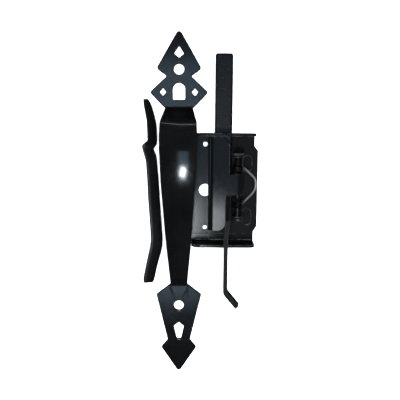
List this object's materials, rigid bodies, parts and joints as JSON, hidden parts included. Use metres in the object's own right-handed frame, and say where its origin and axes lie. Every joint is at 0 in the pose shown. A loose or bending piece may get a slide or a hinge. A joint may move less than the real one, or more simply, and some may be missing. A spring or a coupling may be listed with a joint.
{
  "type": "gate thumb latch set",
  "caption": "Ornamental gate latch set laid flat: spear plated pull handle, thumb lever, and a sprung latch case with hood, release lever and sliding strike bar.",
  "frame": {"origin": "midway between the two screw holes of the pull handle, on the flat back of its plates", "axes": "+Y along the handle towards the plate with the thumb slot, +Z away from the gate, +X towards the latch case"},
  "size_m": [0.091, 0.2732, 0.0345],
  "materials": {
    "black_handle": "semi gloss black powder coat",
    "black_thumb": "semi gloss black powder coat",
    "black_case": "satin black powder coat",
    "black_hood": "semi gloss black powder coat",
    "black_lever": "semi gloss black powder coat",
    "black_bar": "satin black paint",
    "axle_steel": "blackened steel",
    "spring_steel": "blackened spring steel"
  },
  "bodies": {
    "latch_set": {"pull_handle": "black_handle", "case_base": "black_case", "axle_pin": "axle_steel", "axle_washer_upper": "axle_steel", "axle_washer_lower": "axle_steel", "retaining_ring": "spring_steel", "torsion_spring": "spring_steel"},
    "rocker": {"latch_hood": "black_hood", "release_lever": "black_lever"},
    "strike": {"strike_bar": "black_bar"},
    "thumb": {"thumb_lever": "black_thumb"}
  },
  "joints": [
    {"name": "rocker_hinge", "type": "hinge", "parent": "latch_set", "child": "rocker", "pos_m": [0.046, 0.0068, 0.0115], "axis": [0, 1, 0], "range_deg": [0, 40], "stiffness_Nm_per_rad": 0.05, "springref_deg": -17.19},
    {"name": "strike_slide", "type": "slide", "parent": "latch_set", "child": "strike", "axis": [0, 1, 0], "range_m": [0, 0.045]},
    {"name": "thumb_rock", "type": "hinge", "parent": "latch_set", "child": "thumb", "pos_m": [-0.022, 0.0352, 0.008], "axis": [0, 0, 1], "range_deg": [-6, 2.5]}
  ]
}
